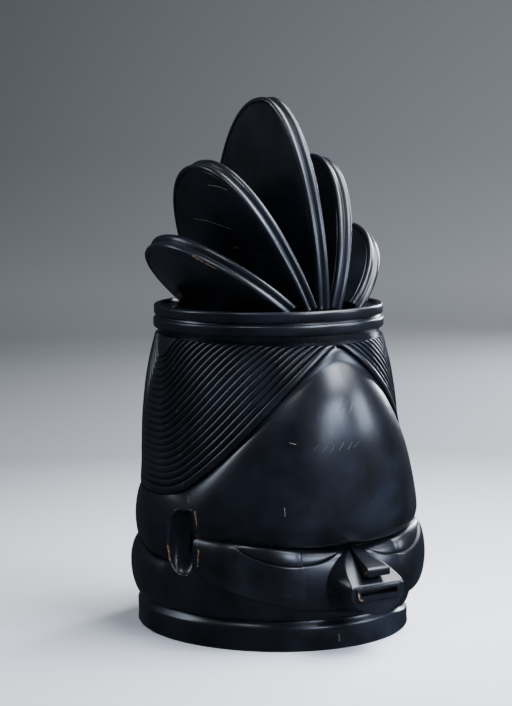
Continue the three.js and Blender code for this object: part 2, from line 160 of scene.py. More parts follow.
head = {
    "ovalRatio": 1.12,  # depth of every level over its width
    "columns": 112,  # round each half
    "domeRows": 28, "browRows": 26, "rollRows": 24,
    "flangeHalfWidth": 105.5, "flangeHeight": 17, "flangeCrease": 23, "flangeGap": 4,
    "flangeDip": 9, "dipAngle": 62, "dipSpan": 32, "footEdge": 1.2, "footPlain": 2,
    "creaseHalfWidth": 102.3, "lowerRollBulge": 7.9, "lowerRollCurve": 0.5,
    "upperRollBulge": 4.9, "upperRollCurve": 0.6, "rollTop": 115, "rollTopHalfWidth": 99.2, "underHair": 1,
    "rollCreaseBack": 69, "rollCreaseSide": 62, "rollCreaseHalfWidth": 103.3, "backStart": 90, "backEnd": 120,
}
hair = {
    "top": 234, "bottom": 111, "halfWidth": 100.8, "topHalfWidth": 87.8, "drawIn": 2.8,
    "pole": 98,  # all ridges are scaled copies of the border about this angle at the ring
    "frontTurn": 80, "backTurn": 124, "turnSoftness": 6, "armBow": 4, "apexRound": 0.016,
    "ridgePitch": 5.3, "plainRidges": 3, "ridgeDepth": 1.7, "ridgeRows": 6, "ridgeCurve": 0.7,
    "borderWidth": 7, "borderGroove": 2.4, "grooveRun": 2, "borderLift": 0.6, "borderSlope": 0.4,
    "borderRound": 1.6, "borderRows": (0.1, 0.25, 0.45, 0.65, 0.8, 0.92),
}
forehead = {
    "height": 17, "run": 30, "apexSoftness": 12, "turn": 100, "turnRadius": 21,
    "browMiddle": 76, "browSide": 84, "browRun": 55, "templeStart": 70, "templeEnd": 84,
}
hairDepth = hair["top"] - hair["bottom"]


def headPoint(side, angle, halfWidth, z):
    a = np.radians(angle)
    x = side * halfWidth * np.sin(a)
    y = -head["ovalRatio"] * halfWidth * np.cos(a)
    return np.stack(np.broadcast_arrays(x, y, z), -1)


def hairRadius(z):
    share = np.clip((z - hair["bottom"]) / hairDepth, 0, 1)
    return mix(hair["halfWidth"], hair["topHalfWidth"], share ** hair["drawIn"])


def borderRise(share):  # height of the hair border over its lowest run, from face (0) to nape (1)
    front, back = hair["frontTurn"] / 180, hair["backTurn"] / 180
    soft = hair["turnSoftness"]
    share = np.minimum(1, np.hypot(share, hair["apexRound"]))
    forward = hairDepth * (1 - share / front) / soft
    behind = hairDepth * (share - back) / (1 - back) / soft
    bow = np.where(share < front, hair["armBow"] * np.sin(2 * np.pi * share / front), 0)
    return soft * np.log(np.exp(forward) + 1 + np.exp(behind)) + bow


def borderHeight(angle):
    return hair["bottom"] + borderRise(np.asarray(angle, float) / 180)


def ridgeRows():  # share of the way from the pole to the border, and lift of the surface there
    borderStart = 1 - hair["borderWidth"] / hairDepth
    ridges = round(borderStart * hairDepth / hair["ridgePitch"])
    rows = []
    for k in range(ridges):
        for step in range(hair["ridgeRows"]):
            across = step / hair["ridgeRows"]
            if k == 0 and step == 0:
                continue
            depth = hair["ridgeDepth"] if k >= hair["plainRidges"] else 0
            lift = -depth * (1 - bulge(across, hair["ridgeCurve"]))
            rows.append((borderStart * (k + across) / ridges, lift))
    rows.append((borderStart, -hair["ridgeDepth"]))
    for across in hair["borderRows"]:
        slope = (across - hair["borderRows"][0]) * hair["borderSlope"]
        lift = hair["borderLift"] + slope - hair["borderRound"] * abs(2 * across - 1) ** 4
        rows.append((mix(borderStart, 1, across), lift))
    rows.append((1, -hair["borderGroove"]))
    return rows


def frontWeight(angle):
    return 1 - smooth(forehead["templeStart"], forehead["templeEnd"], angle)


def browCrease(angle):
    front = mix(forehead["browMiddle"], forehead["browSide"], smooth(0, forehead["browRun"], angle))
    behind = smooth(head["backStart"], head["backEnd"], angle)
    back = mix(head["rollCreaseSide"], head["rollCreaseBack"], behind)
    return mix(back, front, frontWeight(angle))


def bandCrease(side, angle):
    across = (side * angle - head["dipAngle"]) / head["dipSpan"]
    return head["flangeCrease"] - head["flangeDip"] * np.exp(-across ** 2)


def foreheadRadius(angle, z):
    softAngle = np.minimum(180, np.hypot(angle, forehead["apexSoftness"]))
    slope = math.atan2(hairDepth, math.radians(hair["frontTurn"]) * hair["halfWidth"])
    distance = np.maximum(0, (borderHeight(softAngle) - z) * math.cos(slope))
    under = 1 - (np.maximum(0, forehead["turn"] - z) / forehead["turnRadius"]) ** 2
    rise = forehead["height"] * (1 - np.exp(-distance / forehead["run"]))
    lip = hair["borderGroove"] * np.exp(-np.maximum(0, borderHeight(angle) - z) / hair["grooveRun"])
    return hairRadius(z) + rise * np.sqrt(np.maximum(0, under)) - lip


def upperRollRadius(angle, z):
    share = (head["rollTop"] - z) / (head["rollTop"] - browCrease(angle))
    roll = mix(head["rollTopHalfWidth"], head["rollCreaseHalfWidth"], share)
    roll = roll + head["upperRollBulge"] * bulge(share, head["upperRollCurve"])
    return np.where(z > head["rollTop"], hairRadius(z) - head["underHair"], roll)


def lowerRollRadius(side, angle, z):
    top = browCrease(angle)
    share = (top - z) / (top - bandCrease(side, angle))
    roll = mix(head["rollCreaseHalfWidth"], head["creaseHalfWidth"], share)
    return roll + head["lowerRollBulge"] * bulge(share, head["lowerRollCurve"])


def cheekBed(side, angle, z):  # depth by which the head's roll lies under the cheeks
    foot, crease = cheekFoot(side, angle), browCrease(angle)
    rise = smooth(foot, foot + face["bedRise"], z) * (1 - smooth(crease - face["bedFall"], crease, z))
    return face["bed"] * rise * (1 - smooth(face["slack"], face["cheekEnd"] - face["bedEnd"], angle))


def flangeTop(band):
    return np.minimum(head["flangeHeight"], band - head["flangeGap"])


def neckRadius(side, angle, z):
    crease, band = browCrease(angle), bandCrease(side, angle)
    flange = mix(head["flangeHalfWidth"], head["creaseHalfWidth"], smooth(flangeTop(band), band, z))
    upper = mix(upperRollRadius(angle, z), foreheadRadius(angle, z), frontWeight(angle))
    roll = lowerRollRadius(side, angle, z) - cheekBed(side, angle, z)
    return np.where(z < band, flange, np.where(z < crease, roll, upper))


def eased(count):  # shares up to 1 that crowd at both ends
    return 0.5 - 0.5 * np.cos(np.pi * np.arange(1, count + 1) / count)


def columnHeights(side, angle):  # from the hair border down to the foot
    border, crease, band = borderHeight(angle), browCrease(angle), bandCrease(side, angle)
    rollStart = np.minimum(head["rollTop"] - 2, border - 3)
    middle = mix(rollStart, mix(crease, border, 0.4), frontWeight(angle))
    rows = head["domeRows"]
    heights = [mix(border, middle, share ** 1.5) for share in np.arange(1, rows + 1) / rows]
    heights += [mix(middle, crease, share) for share in eased(head["browRows"])]
    heights += [mix(crease, band, share) for share in eased(head["rollRows"])]
    low = flangeTop(band)
    heights += [mix(band, low, share) for share in (0.25, 0.5, 0.75, 1)]
    heights += [low * share for share in (0.6, 0.25)] + [0 * low + head["footEdge"], 0 * low]
    return np.array(heights)


def headSolid():
    cols = head["columns"] + 1
    share = np.linspace(0, 1, cols)
    rows = ridgeRows()
    points, faces = [[0, 0, hair["top"]], [0, 0, 0]], []
    for side in (-1, 1):
        start = len(points)
        angle = 180 * share
        grid = [headPoint(side, 0 * angle + hair["pole"], hairRadius(hair["top"]), hair["top"] + 0 * angle)]
        for scale, lift in rows:
            around = mix(hair["pole"], angle, scale)
            z = hair["top"] - scale * (hairDepth - borderRise(share))
            radius = hairRadius(z) + lift + worked("hair", headPoint(side, around, hairRadius(z), z))
            grid.append(headPoint(side, around, radius, z))
        for z in columnHeights(side, angle):
            radius = neckRadius(side, angle, z)
            waves = worked("head", headPoint(side, angle, radius, z)) * np.where(z > head["footPlain"], 1, 0)
            grid.append(headPoint(side, angle, radius + waves, z))
        grid[-1] = headPoint(side, angle, head["flangeHalfWidth"] - head["footEdge"], 0 * angle)
        grid = np.array(grid)
        if side < 0:
            seam = grid[len(rows):, [0, -1]]
        else:
            grid[len(rows):, [0, -1]] = seam
        points += list(grid.reshape(-1, 3))
        faces += gridFaces(len(grid), cols, start, False, side > 0)
        for j in range(len(rows)):
            a, b = start + j * cols, start + (j + 1) * cols
            caps = [[0, a, b], [0, b + cols - 1, a + cols - 1]]
            faces += [cap if side < 0 else cap[::-1] for cap in caps]
        last = start + (len(grid) - 1) * cols
        for i in range(cols - 1):
            cap = [1, last + i, last + i + 1]
            faces.append(cap if side < 0 else cap[::-1])
    return solid("head", points, faces)


# Face: cheeks with sunk crescent eyes, and a wedge muzzle that carries nose and mouth

face = {
    "cheekEnd": 66, "slack": 50, "endShare": 0.5, "columns": 78, "rows": 30, "overlap": 1, "root": 12,
    "bulgeRight": 9, "bulgeLeft": 11, "bulgeCurve": 0.8, "footFront": 31, "footSide": 56, "footSunk": 0.5,
    "footRiseRight": (15, 50), "footRiseLeft": (50, 20), "footCurve": 1.5,  # where it starts, and its span
    "bed": 4, "bedRise": 8, "bedFall": 3, "bedEnd": 4,
    "eyeMiddle": 28, "eyeHalfSpan": 20.5, "eyeHeight": 11.5, "eyeCurve": 0.8, "eyeTop": 2, "eyeFade": 5,
    "eyeSink": 1.5, "lidRows": 9, "lidEdge": (0.7, 0.35, 0, -0.35, -0.7, -1.3), "lidStep": (-0.4, 0.5),
    "eyeLine": 1.0, "lineUp": 0.35, "lineHalfWidth": 0.5,
}
muzzle = {
    "reach": 151, "topReach": 114, "top": 79, "apex": 77, "bottom": 31.5, "widest": 48, "halfWidth": 24.3,
    "upperCurve": 0.62, "lowerCurve": 0.65, "slantTop": 57, "slantReach": 148, "slope": 1.55,
    "slantSoft": 0.8, "spread": 27.5, "topSpread": 4, "spreadCurve": 2.2, "leastFlare": 3,
    "cheekReach": 125.4, "reachCurve": 1.5, "buried": 2, "sideRun": 1.9, "corner": 0.7,
    "levels": 40, "frontColumns": 10, "sideColumns": 9,
}
nose = {
    "topHalfWidth": 1.6, "halfWidth": 10.4, "top": 79, "tipTop": 67.5, "tipBottom": 61.5, "corner": 0.9,
    "root": 12, "rootDrop": 6, "sag": 0.6, "levels": 24, "tipRound": ((0.25, 0.6), (0.8, 1.0)),
}
mouth = {
    "halfWidth": 20, "top": 54.5, "bottom": 43, "proud": 1.5, "corner": 3.2, "edge": 1.2,
    "slitHalfWidth": 16.5, "slitHeight": 4, "slitDepth": 8, "slitUp": 0.8, "slitAhead": 4,
    "slitCorner": 1.2, "slitEdge": 0.2,
}


def cheekFoot(side, angle):
    start, span = face["footRiseRight"] if side < 0 else face["footRiseLeft"]
    share = np.clip((angle - start) / span, 0, 1) ** face["footCurve"]
    return mix(face["footFront"], face["footSide"], share)


def cheekSection(side, angle):
    crease = float(browCrease(min(angle, forehead["templeStart"]))) + face["overlap"]
    foot = float(cheekFoot(side, angle))
    strength = face["bulgeRight"] if side < 0 else face["bulgeLeft"]
    strength *= mix(1, face["endShare"], float(smooth(face["slack"], face["cheekEnd"], angle)))
    footRadius = float(lowerRollRadius(side, angle, foot)) - face["footSunk"]
    topRadius = float(foreheadRadius(angle, crease - face["overlap"])) - face["overlap"]
    across = (angle - face["eyeMiddle"]) / face["eyeHalfSpan"]
    eye = face["eyeHeight"] * max(0, 1 - across * across) ** face["eyeCurve"]
    arc = crease - face["eyeTop"] - eye
    lid = [mix(crease, arc + 1, t) for t in np.linspace(0, 1, face["lidRows"])]
    edge = [arc + off for off in face["lidEdge"]]
    steps = np.linspace(0, 1, face["rows"])[1:]
    cheek = [mix(edge[-1], foot, 0.5 - 0.5 * math.cos(math.pi * t)) for t in steps]
    z = np.array(lid + edge + cheek)
    share = np.arccos(np.clip(1 - 2 * (crease - z) / (crease - foot), -1, 1)) / math.pi
    radius = mix(topRadius, footRadius, share) + strength * bulge(share, face["bulgeCurve"])
    lidShare = np.clip((crease - z) / (crease - arc), 0, 1)
    low, high = face["lidStep"]
    sunk = face["eyeSink"] * lidShare ** 0.7 * smooth(arc + low, arc + high, z)
    line = face["eyeLine"] * np.exp(-((z - arc - face["lineUp"]) / face["lineHalfWidth"]) ** 2)
    radius = radius - float(smooth(0, face["eyeFade"], eye)) * (sunk + line)
    z = np.concatenate([z, [foot, crease]])
    radius = np.concatenate([radius, [footRadius - face["root"]] * 2])
    return headPoint(side, angle, radius + worked("cheeks", headPoint(side, angle, radius, z)), z)


def cheeksSolid():
    steps = np.linspace(-face["cheekEnd"], face["cheekEnd"], 2 * face["columns"] + 1)
    return loft("cheeks", [cheekSection(-1 if a < 0 else 1, abs(a)) for a in steps])


def muzzleOutline(z):  # half width and reach of the drop-shaped front at a height
    up = (z - muzzle["widest"]) / (muzzle["apex"] - muzzle["widest"])
    down = (muzzle["widest"] - z) / (muzzle["widest"] - muzzle["bottom"])
    shape = (1 - up ** 2) ** muzzle["upperCurve"] if up > 0 else (1 - down ** 2) ** muzzle["lowerCurve"]
    slant = muzzle["slantReach"] - muzzle["slope"] * (z - muzzle["slantTop"])
    soft = muzzle["slantSoft"]
    reach = -soft * math.log(math.exp(-slant / soft) + math.exp(-muzzle["reach"] / soft))
    return max(0.4, muzzle["halfWidth"] * max(0, shape.real)), reach


def muzzleLoop(z):
    share = (z - muzzle["bottom"]) / (muzzle["top"] - muzzle["bottom"])
    halfWidth, reach = muzzleOutline(min(z, muzzle["apex"] - 0.01))
    spread = mix(muzzle["spread"], muzzle["topSpread"], share ** muzzle["spreadCurve"])
    spread = max(spread, halfWidth + muzzle["leastFlare"])
    swell = float(bulge(share, muzzle["reachCurve"]))
    sideReach = mix(muzzle["topReach"] - muzzle["buried"], muzzle["cheekReach"], swell)
    edge, foot = np.array([halfWidth, -reach]), np.array([spread, -sideReach])
    back = edge + (foot - edge) * muzzle["sideRun"]
    corner = muzzle["corner"]
    inward = np.array([max(0, halfWidth - corner), -reach])
    along = edge + (foot - edge) * corner / np.linalg.norm(foot - edge)
    half = [inward * [t, 1] for t in np.linspace(0, 1, muzzle["frontColumns"])[1:]]
    half += [0.25 * inward + 0.5 * edge + 0.25 * along, along]
    half += [mix(along, back, t) for t in np.linspace(0, 1, muzzle["sideColumns"])[1:]]
    return [[-x, y, z] for x, y in half[::-1]] + [[0, -reach, z]] + [[x, y, z] for x, y in half]


def muzzleSolid():
    steps = np.linspace(0, 1, muzzle["levels"])
    heights = mix(muzzle["bottom"], muzzle["top"], steps)
    return loft("muzzle", [muzzleLoop(z) for z in heights])


def noseSolid():
    corner = nose["corner"]
    back = muzzle["topReach"] - nose["root"]
    loops = []
    for t in np.linspace(0, 1, nose["levels"]):  # from the buried root forward to the tip
        reach = mix(back, noseReach - corner, t)
        share = max(0, (reach - muzzle["topReach"]) / (noseReach - muzzle["topReach"]))
        halfWidth = mix(nose["topHalfWidth"], nose["halfWidth"], share)
        top = mix(nose["top"], nose["tipTop"], share)
        bottom = nose["tipBottom"] - nose["rootDrop"] * (1 - share) + nose["sag"] * math.sin(math.pi * share)
        loops.append(roundedLoop(halfWidth, bottom, top, -reach, corner))
    for inset, ahead in nose["tipRound"]:
        inset = inset * corner
        reach = noseReach - corner + corner * ahead
        loops.append(roundedLoop(nose["halfWidth"] - inset, nose["tipBottom"] + inset, nose["tipTop"] - inset,
                                 -reach, corner))
    return loft("nose", loops)


def roundedLoop(halfWidth, bottom, top, y, corner):
    corner = min(corner, halfWidth * 0.6)
    loop = []
    for cx, cz, turn in ((1, 1, 0), (-1, 1, 90), (-1, -1, 180), (1, -1, 270)):
        for step in (0, 30, 60, 90):
            a = math.radians(turn + step)
            x = cx * (halfWidth - corner) + corner * math.cos(a)
            middle = top - corner if cz > 0 else bottom + corner
            loop.append([x, y, middle + corner * math.sin(a)])
    return loop


def roundBlock(name, halfWidth, bottom, top, front, back, corner, edge):
    loops = []
    for inset, y in ((0, back), (0, front - edge), (0.3 * edge, front - 0.3 * edge), (edge, front)):
        loops.append(roundedLoop(halfWidth - inset, bottom + inset, top - inset, -y, corner))
    return loft(name, loops)


# Ears: upright scoops with a straight front edge, deep above and running out at the foot

ear = {
    "angle": 70, "reach": 111.2, "facing": 58, "middle": 80, "width": 27, "height": 54, "points": 80,
    "frontTop": 5, "frontFoot": 3, "behind": 2.3,  # squareness of the outline, where 2 is an ellipse
    "rim": 2.2, "hollow": 9.5, "steep": 5, "gentle": 1.6, "floorCurve": 0.6,
    "slotWidth": 1.7, "slotHeight": 18, "slotPlace": (3.2, -1.5), "slotDepth": 12.5,
}
earBlock = (  # inset from the outline, and place off the ear's face
    (6, -22), (0.5, -2.2), (0.1, -1.5), (0, -1), (0.08, -0.6), (0.3, -0.25), (0.6, -0.05), (0.9, 0),
)
earFloor = (0.12, 0.3, 0.48, 0.62, 0.73, 0.81, 0.87, 0.91, 0.945, 0.97, 0.99)  # shares of the scoop's outline
earLip = ((0.3, -0.25), (1.0, 0.05), (1.0, 4))  # wider than the scoop's outline, and place off the ear's face


def earRing(side, width, height, offAt, place=(0, 0)):
    facing, a = math.radians(ear["facing"]), math.radians(ear["angle"])
    outward = np.array([side * math.sin(facing), -math.cos(facing), 0])
    forward = np.array([-side * math.cos(facing), -math.sin(facing), 0])
    middle = np.array([side * math.sin(a), -math.cos(a), 0]) * ear["reach"] + [0, 0, ear["middle"]]
    turn = 2 * np.pi * (np.arange(ear["points"]) + 0.5) / ear["points"]
    run, rise = np.cos(turn), np.sin(turn)
    power = 2 / np.where(run > 0, np.where(rise > 0, ear["frontTop"], ear["frontFoot"]), ear["behind"])
    across = place[0] + width / 2 * np.sign(run) * np.abs(run) ** power
    up = place[1] + height / 2 * np.sign(rise) * np.abs(rise) ** power
    off = offAt(rise) if callable(offAt) else offAt + 0 * rise
    return middle + across[:, None] * forward + up[:, None] * np.array([0, 0, 1]) + off[:, None] * outward


def earSolid(side):
    rings = []
    for inset, off in earBlock:
        rings.append(earRing(side, ear["width"] - 2 * inset, ear["height"] - 2 * inset, off))
    return loft("ear", rings, side > 0)


def earScoop(side):  # a steep wall above, and a floor that rises gently to the rim below
    width, height = ear["width"] - 2 * ear["rim"], ear["height"] - 2 * ear["rim"]
    rings = []
    for share in earFloor:
        def floor(rise):
            power = mix(ear["steep"], ear["gentle"], (1 - rise) / 2)
            return -ear["hollow"] * (1 - share ** power) ** ear["floorCurve"]
        rings.append(earRing(side, width * share, height * share, floor))
    rings += [earRing(side, width + wider, height + wider, off) for wider, off in earLip]
    return loft("earScoop", rings, side > 0)


def earSlot(side):
    sizes = [(0.6, -ear["slotDepth"]), (1, -ear["slotDepth"] + 1), (1, 4)]
    rings = [earRing(side, ear["slotWidth"] * share, ear["slotHeight"] * share, off, ear["slotPlace"])
             for share, off in sizes]
    return loft("earSlot", rings, side > 0)


# Double ring and the platform of the crest

ring = {
    "bandHalfWidth": 86.5, "bandTaper": (2.5, 1.5), "bandFoot": 222, "foot": 238.5, "height": 8.5,
    "groove": 1.6, "lowerHalfWidth": 89.4, "upperHalfWidth": 88.8, "round": 2.0, "columns": 184,
    "waveStretch": (1, 1, 0.3),
}
dishEdge = ((4.2, 0), (4.7, -0.15), (5.1, -0.6), (5.6, -1.6), (6.1, -2.6), (6.8, -3))  # inset and depth
platformTop = ring["foot"] + 2 * ring["height"] + ring["groove"]


def ringSolid():
    band, (low, high) = ring["bandHalfWidth"], ring["bandTaper"]
    profile = [(band - low, ring["bandFoot"]), (band - high, hair["top"]), (band, ring["foot"] - 1)]
    for k, halfWidth in enumerate((ring["lowerHalfWidth"], ring["upperHalfWidth"])):
        foot = ring["foot"] + k * (ring["height"] + ring["groove"])
        r = ring["round"]
        for middle, first in ((foot + r, -90), (foot + ring["height"] - r, 0)):
            for a in np.radians(np.linspace(first, first + 90, 5)):
                profile.append((halfWidth - r + r * math.cos(a), middle + r * math.sin(a)))
    profile += [(ring["upperHalfWidth"] - inset, platformTop + depth) for inset, depth in dishEdge]
    angles = np.linspace(0, 360, ring["columns"], endpoint=False)
    loops = []
    for halfWidth, z in profile:
        waves = worked("ring", headPoint(1, angles, halfWidth, z) * ring["waveStretch"])
        loops.append(headPoint(1, angles, halfWidth + waves, z))
    return loft("ring", loops)


# Crest: five lobes that fan out from the front-to-back line, each a thick leaf with a double-beaded rim

crest = {
    "halfLength": 83, "thickness": 12.2, "rim": 13.5, "rimEnd": 10.5, "rimDepth": 4.5, "foot": 8.5,
    "footShares": (0.08, 0.17), "bodyStart": 0.25, "bodyRows": 9, "plainEdge": 6, "midInset": 2.0,
    "rootDepth": 12, "around": 124, "sunk": 11,
}
middleLobe = {"root": 0, "foot": 8.5, "height": 162.9}
innerLobe = {"root": 11, "foot": 8.5, "height": 121.5}
outerLobe = {"root": 30, "foot": 21, "height": 77.6}  # its outer face swells out to the ring
lobes = (  # shift is how far back the tip lies, front and back are powers of the outline
    middleLobe | {"side": 1, "tilt": 0, "shift": -4, "front": 1.8, "back": 2.2},
    innerLobe | {"side": -1, "tilt": 22, "shift": 4, "front": 2, "back": 2.2},
    innerLobe | {"side": 1, "tilt": 17, "shift": -5, "front": 1.8, "back": 2.4},
    outerLobe | {"side": -1, "tilt": 47, "shift": 6, "front": 1.65, "back": 2.2},
    outerLobe | {"side": 1, "tilt": 42, "shift": -6, "front": 1.7, "back": 2.1},
)
rimShape = (  # inset from the outline, and share of the rim's half thickness
    (4.1, 0.85), (3.8, 0.97), (3.2, 1), (2.0, 1), (1.2, 0.97), (0.55, 0.9), (0.15, 0.8), (0, 0.66),
    (0.05, 0.52), (0.35, 0.36), (0.9, 0.22), (1.6, 0.1),
)


def lobeRows(foot, end):  # share of the way out, inset from the outline, distance off the middle plane
    rim = mix(crest["rimEnd"], crest["rim"], end) / 2
    body = np.minimum(crest["thickness"] / 2, rim)
    foot = mix(crest["foot"], foot, np.sqrt(end))
    rows = [(share, 0, foot, 1) for share in crest["footShares"]]
    for t in np.linspace(0, 1, crest["bodyRows"]):
        waves = 1 - t ** crest["plainEdge"]
        rows.append((mix(crest["bodyStart"], 1, t), crest["rimDepth"] * t, mix(foot, body, t), waves))
    return rows + [(1, inset, np.maximum(body * share, rim * share), 0) for inset, share in rimShape]


def crestLobe(lobe):
    shown = np.linspace(0, np.pi, crest["around"], endpoint=False)
    sunk = np.linspace(np.pi, 2 * np.pi, crest["sunk"], endpoint=False)
    phi = np.concatenate([shown, sunk])
    rise, run = np.sin(phi), np.cos(phi)
    above = np.arange(len(phi)) < crest["around"]
    power = np.where(above, 2 / np.where(run > 0, lobe["front"], lobe["back"]), 1)
    high, long = np.sign(rise) * np.abs(rise) ** power, np.sign(run) * np.abs(run) ** power
    tilt = math.radians(lobe["tilt"])

    def ringAt(face, share, inset, off, waves):
        up = share * high * np.where(above, lobe["height"] - inset, crest["rootDepth"])
        along = -share * (crest["halfLength"] - inset) * long
        along += lobe["shift"] * np.maximum(up, 0) / lobe["height"]
        place = np.stack([along, up, 0 * up + 9 * face], -1)
        off = face * (off + waves * worked("lobes", place, lobe["tilt"]))
        x = lobe["side"] * (lobe["root"] + np.maximum(up, 0) * math.sin(tilt) + off * math.cos(tilt))
        return np.stack([x, along, platformTop + up * math.cos(tilt) - off * math.sin(tilt)], -1)

    end = np.maximum(0, rise)
    loops = [ringAt(-1, *row) for row in lobeRows(crest["foot"], end)]
    loops.append(ringAt(1, 1, crest["midInset"], 0 * phi, 0))
    loops += [ringAt(1, *row) for row in lobeRows(lobe["foot"], end)[::-1]]
    return loft("lobe", loops, lobe["side"] > 0)


# The hollow inside, open at the neck

hollow = {
    "openingHalfWidth": 93.2, "openingEdge": 1.2, "wallRise": 70, "shoulder": 150, "shoulderHalfWidth": 87,
    "top": 229, "roundness": 2.3, "workedFrom": 10, "workedTo": 220, "columns": 96, "domeRows": 16,
}


def hollowSolid():
    opening, shoulder = hollow["openingHalfWidth"], hollow["shoulderHalfWidth"]
    edge, wallRise = hollow["openingEdge"], hollow["wallRise"]
    profile = [(opening + edge, -2), (opening + edge, 0), (opening, edge), (opening, wallRise * 0.5)]
    profile.append((opening, wallRise))
    for t in (0.33, 0.67):
        profile.append((mix(opening, shoulder, t), mix(wallRise, hollow["shoulder"], t)))
    for t in np.linspace(0, 1, hollow["domeRows"])[:-1]:
        share = math.sin(math.pi / 2 * t)
        radius = shoulder * (1 - share ** hollow["roundness"]) ** (1 / hollow["roundness"])
        profile.append((radius, mix(hollow["shoulder"], hollow["top"], share)))
    angles = np.linspace(0, 360, hollow["columns"], endpoint=False)
    loops = []
    for halfWidth, z in profile:
        uneven = hollow["workedFrom"] < z < hollow["workedTo"]
        waves = worked("hollow", headPoint(1, angles, halfWidth, z)) if uneven else 0
        loops.append(headPoint(1, angles, halfWidth + waves, z))
    return loft("hollow", loops)


sharpAngle = 38  # edges that turn by more than this stay crisp


def maskPiece():
    piece = headSolid()
    piece.name = "carvedMask"
    print("head made")
    added = [cheeksSolid(), muzzleSolid(), noseSolid(), ringSolid()] + [crestLobe(lobe) for lobe in lobes]
    front = muzzle["reach"] + mouth["proud"]
    added.append(roundBlock("lips", mouth["halfWidth"], mouth["bottom"], mouth["top"], front,
                            muzzle["topReach"], mouth["corner"], mouth["edge"]))
    added += [earSolid(-1), earSolid(1)]
    joined(piece, added, "UNION")
    middle, half = (mouth["top"] + mouth["bottom"]) / 2 + mouth["slitUp"], mouth["slitHeight"] / 2
    slit = roundBlock("slit", mouth["slitHalfWidth"], middle - half, middle + half,
                      front + mouth["slitAhead"], front - mouth["slitDepth"],
                      mouth["slitCorner"], mouth["slitEdge"])
    cuts = [cut(side) for cut in (earScoop, earSlot) for side in (-1, 1)]
    joined(piece, [slit, hollowSolid()] + cuts, "DIFFERENCE")
    mesh = piece.data
    mesh.shade_smooth()
    mesh.set_sharp_from_angle(angle=math.radians(sharpAngle))
    print("mask carved:", len(mesh.vertices), "points,", len(mesh.polygons), "faces")
    return piece


# Camera at the photograph's view, a long lens

view = {
    "azimuth": -32.0, "distance": 1596.6, "height": 395.1, "pitch": 6.40, "yaw": -0.35, "roll": -0.84,
    "focalPixels": 2000.0, "frameWidth": 512.0, "frameHeight": 706.0, "sensorHeight": 36, "clip": (0.05, 50),
}


def cameraMatrix():
    a, pitch, yaw, roll = (math.radians(view[key]) for key in ("azimuth", "pitch", "yaw", "roll"))
    ahead = Vector((-math.sin(a), math.cos(a), 0))
    side = Vector((math.cos(a), math.sin(a), 0))
    ahead, side = ahead * math.cos(yaw) + side * math.sin(yaw), side * math.cos(yaw) - ahead * math.sin(yaw)
    upright = Vector((0, 0, 1))
    forward = ahead * math.cos(pitch) - upright * math.sin(pitch)
    top = upright * math.cos(pitch) + ahead * math.sin(pitch)
    right = side * math.cos(roll) + top * math.sin(roll)
    top = top * math.cos(roll) - side * math.sin(roll)
    spot = (math.sin(a) * view["distance"], -math.cos(a) * view["distance"], view["height"])
    columns = [right, top, -forward, toScene(spot)]
    return Matrix([[column[k] for column in columns] for k in range(3)] + [[0, 0, 0, 1]])


def addCamera():
    data = bpy.data.cameras.new("camera")
    data.sensor_fit = "VERTICAL"
    data.sensor_height = view["sensorHeight"]
    data.lens = data.sensor_height * view["focalPixels"] / view["frameHeight"]
    data.clip_start, data.clip_end = view["clip"]
    camera = bpy.data.objects.new("camera", data)
    bpy.context.scene.collection.objects.link(camera)
    camera.matrix_world = cameraMatrix()
    bpy.context.scene.camera = camera


# Shader maths

class Socket:
    def __init__(self, tree, link):
        self.tree, self.link = tree, link

    def math(self, operation, *others):
        return self.tree.node("ShaderNodeMath", {"operation": operation}, [self, *others])[0]

    def __add__(self, other):
        return self.math("ADD", other)

    def __radd__(self, other):
        return self.math("ADD", other)

    def __sub__(self, other):
        return self.math("SUBTRACT", other)

    def __rsub__(self, other):
        return self.tree.value(other).math("SUBTRACT", self)

    def __mul__(self, other):
        return self.math("MULTIPLY", other)

    def __rmul__(self, other):
        return self.math("MULTIPLY", other)

    def __truediv__(self, other):
        return self.math("DIVIDE", other)

    def __rtruediv__(self, other):
        return self.tree.value(other).math("DIVIDE", self)


